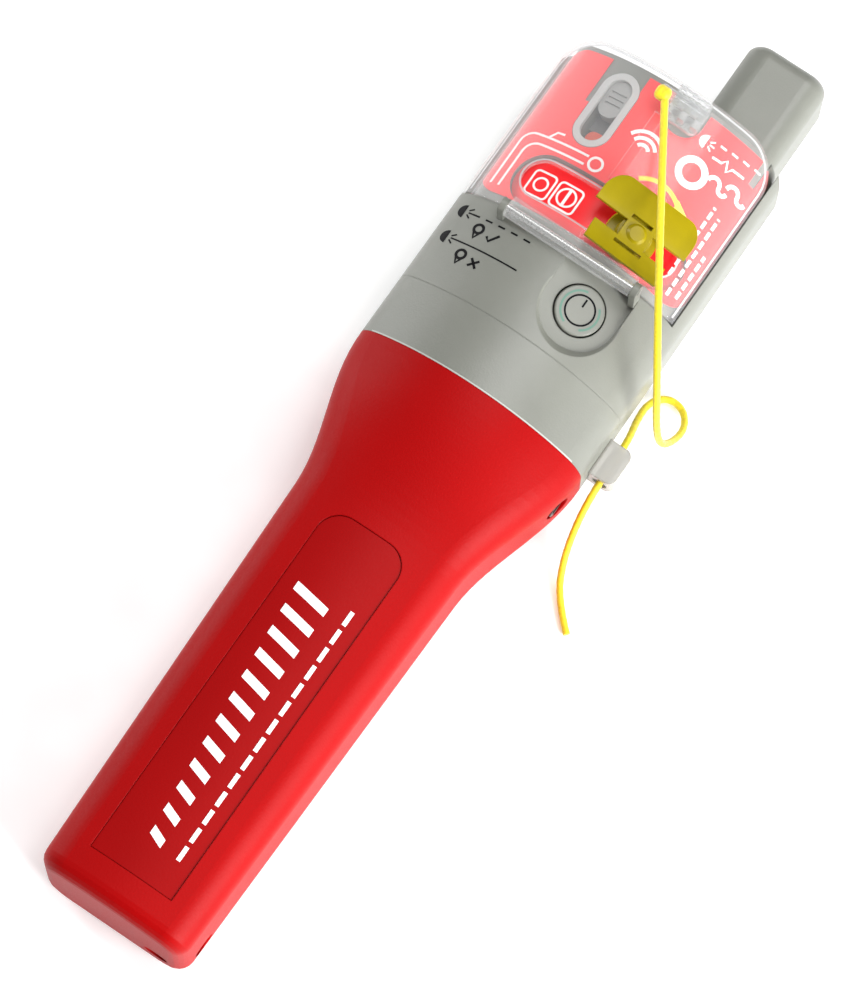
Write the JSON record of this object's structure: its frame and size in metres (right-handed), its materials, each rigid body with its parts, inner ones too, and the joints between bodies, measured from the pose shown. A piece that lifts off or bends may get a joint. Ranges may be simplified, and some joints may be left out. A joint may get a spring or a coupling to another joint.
{
  "type": "emergency position beacon",
  "caption": "Hand-held position beacon: tapered red battery handle, grey head with test button, clear hinged cover, sliding saddle clip, light tower and thin yellow pull cord.",
  "frame": {"origin": "middle of the flat back, at half of the body's length", "axes": "+Z out of the front face, +Y along the body from the handle's end to the light tower, +X to the right seen from the front"},
  "size_m": [0.0519, 0.17, 0.0322],
  "materials": {
    "red_plastic": "satin",
    "panel_film": "satin",
    "black_rubber": "matte",
    "cell_wrap": "gloss",
    "spring_steel": "satin",
    "grey_plastic": "satin",
    "pale_plastic": "satin",
    "red_label": "gloss",
    "clear_plastic": "clear",
    "olive_plastic": "satin",
    "dark_plastic": "matte",
    "orange_plastic": "gloss",
    "board": "satin",
    "ceramic": "matte",
    "copper": "satin",
    "yellow_cord": "woven"
  },
  "bodies": {
    "housing": {"activation_switch": "dark_plastic", "antenna_coil": "copper", "battery_cell_1": "cell_wrap", "battery_cell_2": "cell_wrap", "battery_sleeve": "cell_wrap", "collar_ring": "grey_plastic", "front_label": "red_label", "gps_antenna": "ceramic", "handle_label_panel": "panel_film", "handle_shell": "red_plastic", "head_shell": "grey_plastic", "hinge_pin": "spring_steel", "lanyard_bush": "black_rubber", "line_guide_lug": "pale_plastic", "main_board": "board", "o_ring": "black_rubber", "plus_contact": "spring_steel", "rf_shield": "spring_steel", "side_screws": "spring_steel", "slider_track": "dark_plastic", "slot_bezel": "grey_plastic", "spring_contact": "spring_steel", "status_led": "clear_plastic", "strobe_led": "clear_plastic", "test_button_seal": "black_rubber", "test_switch": "dark_plastic", "tower_dome": "grey_plastic", "window_label": "red_label"},
    "cover": {"clear_cover": "clear_plastic", "cover_eye": "clear_plastic", "pull_cord": "yellow_cord", "cord_knot": "yellow_cord"},
    "clip": {"mount_clip": "olive_plastic", "clip_foot": "olive_plastic", "clip_rivet": "olive_plastic"},
    "slider": {"activation_slider": "pale_plastic"},
    "activation_key": {"activation_button": "orange_plastic"},
    "test_key": {"test_button": "grey_plastic"}
  },
  "joints": [
    {"name": "cover_hinge", "type": "hinge", "parent": "housing", "child": "cover", "pos_m": [0.0004, 0.0374, 0.0278], "axis": [1, 0, 0], "range_deg": [0, 105], "deforming": ["pull_cord"]},
    {"name": "clip_slide", "type": "hinge", "parent": "cover", "child": "clip", "pos_m": [0, 0.0452, -0.003], "axis": [0, 1, 0], "range_deg": [-32, 7]},
    {"name": "activation_slide", "type": "slide", "parent": "housing", "child": "slider", "axis": [0, -1, 0], "range_m": [0, 0.0042]},
    {"name": "activation_press", "type": "slide", "parent": "housing", "child": "activation_key", "axis": [0.2966, 0, -0.955], "range_m": [0, 0.0006], "stiffness_N_per_m": 900},
    {"name": "test_press", "type": "slide", "parent": "housing", "child": "test_key", "axis": [-0.2414, 0, -0.9704], "range_m": [0, 0.0008], "stiffness_N_per_m": 900}
  ]
}
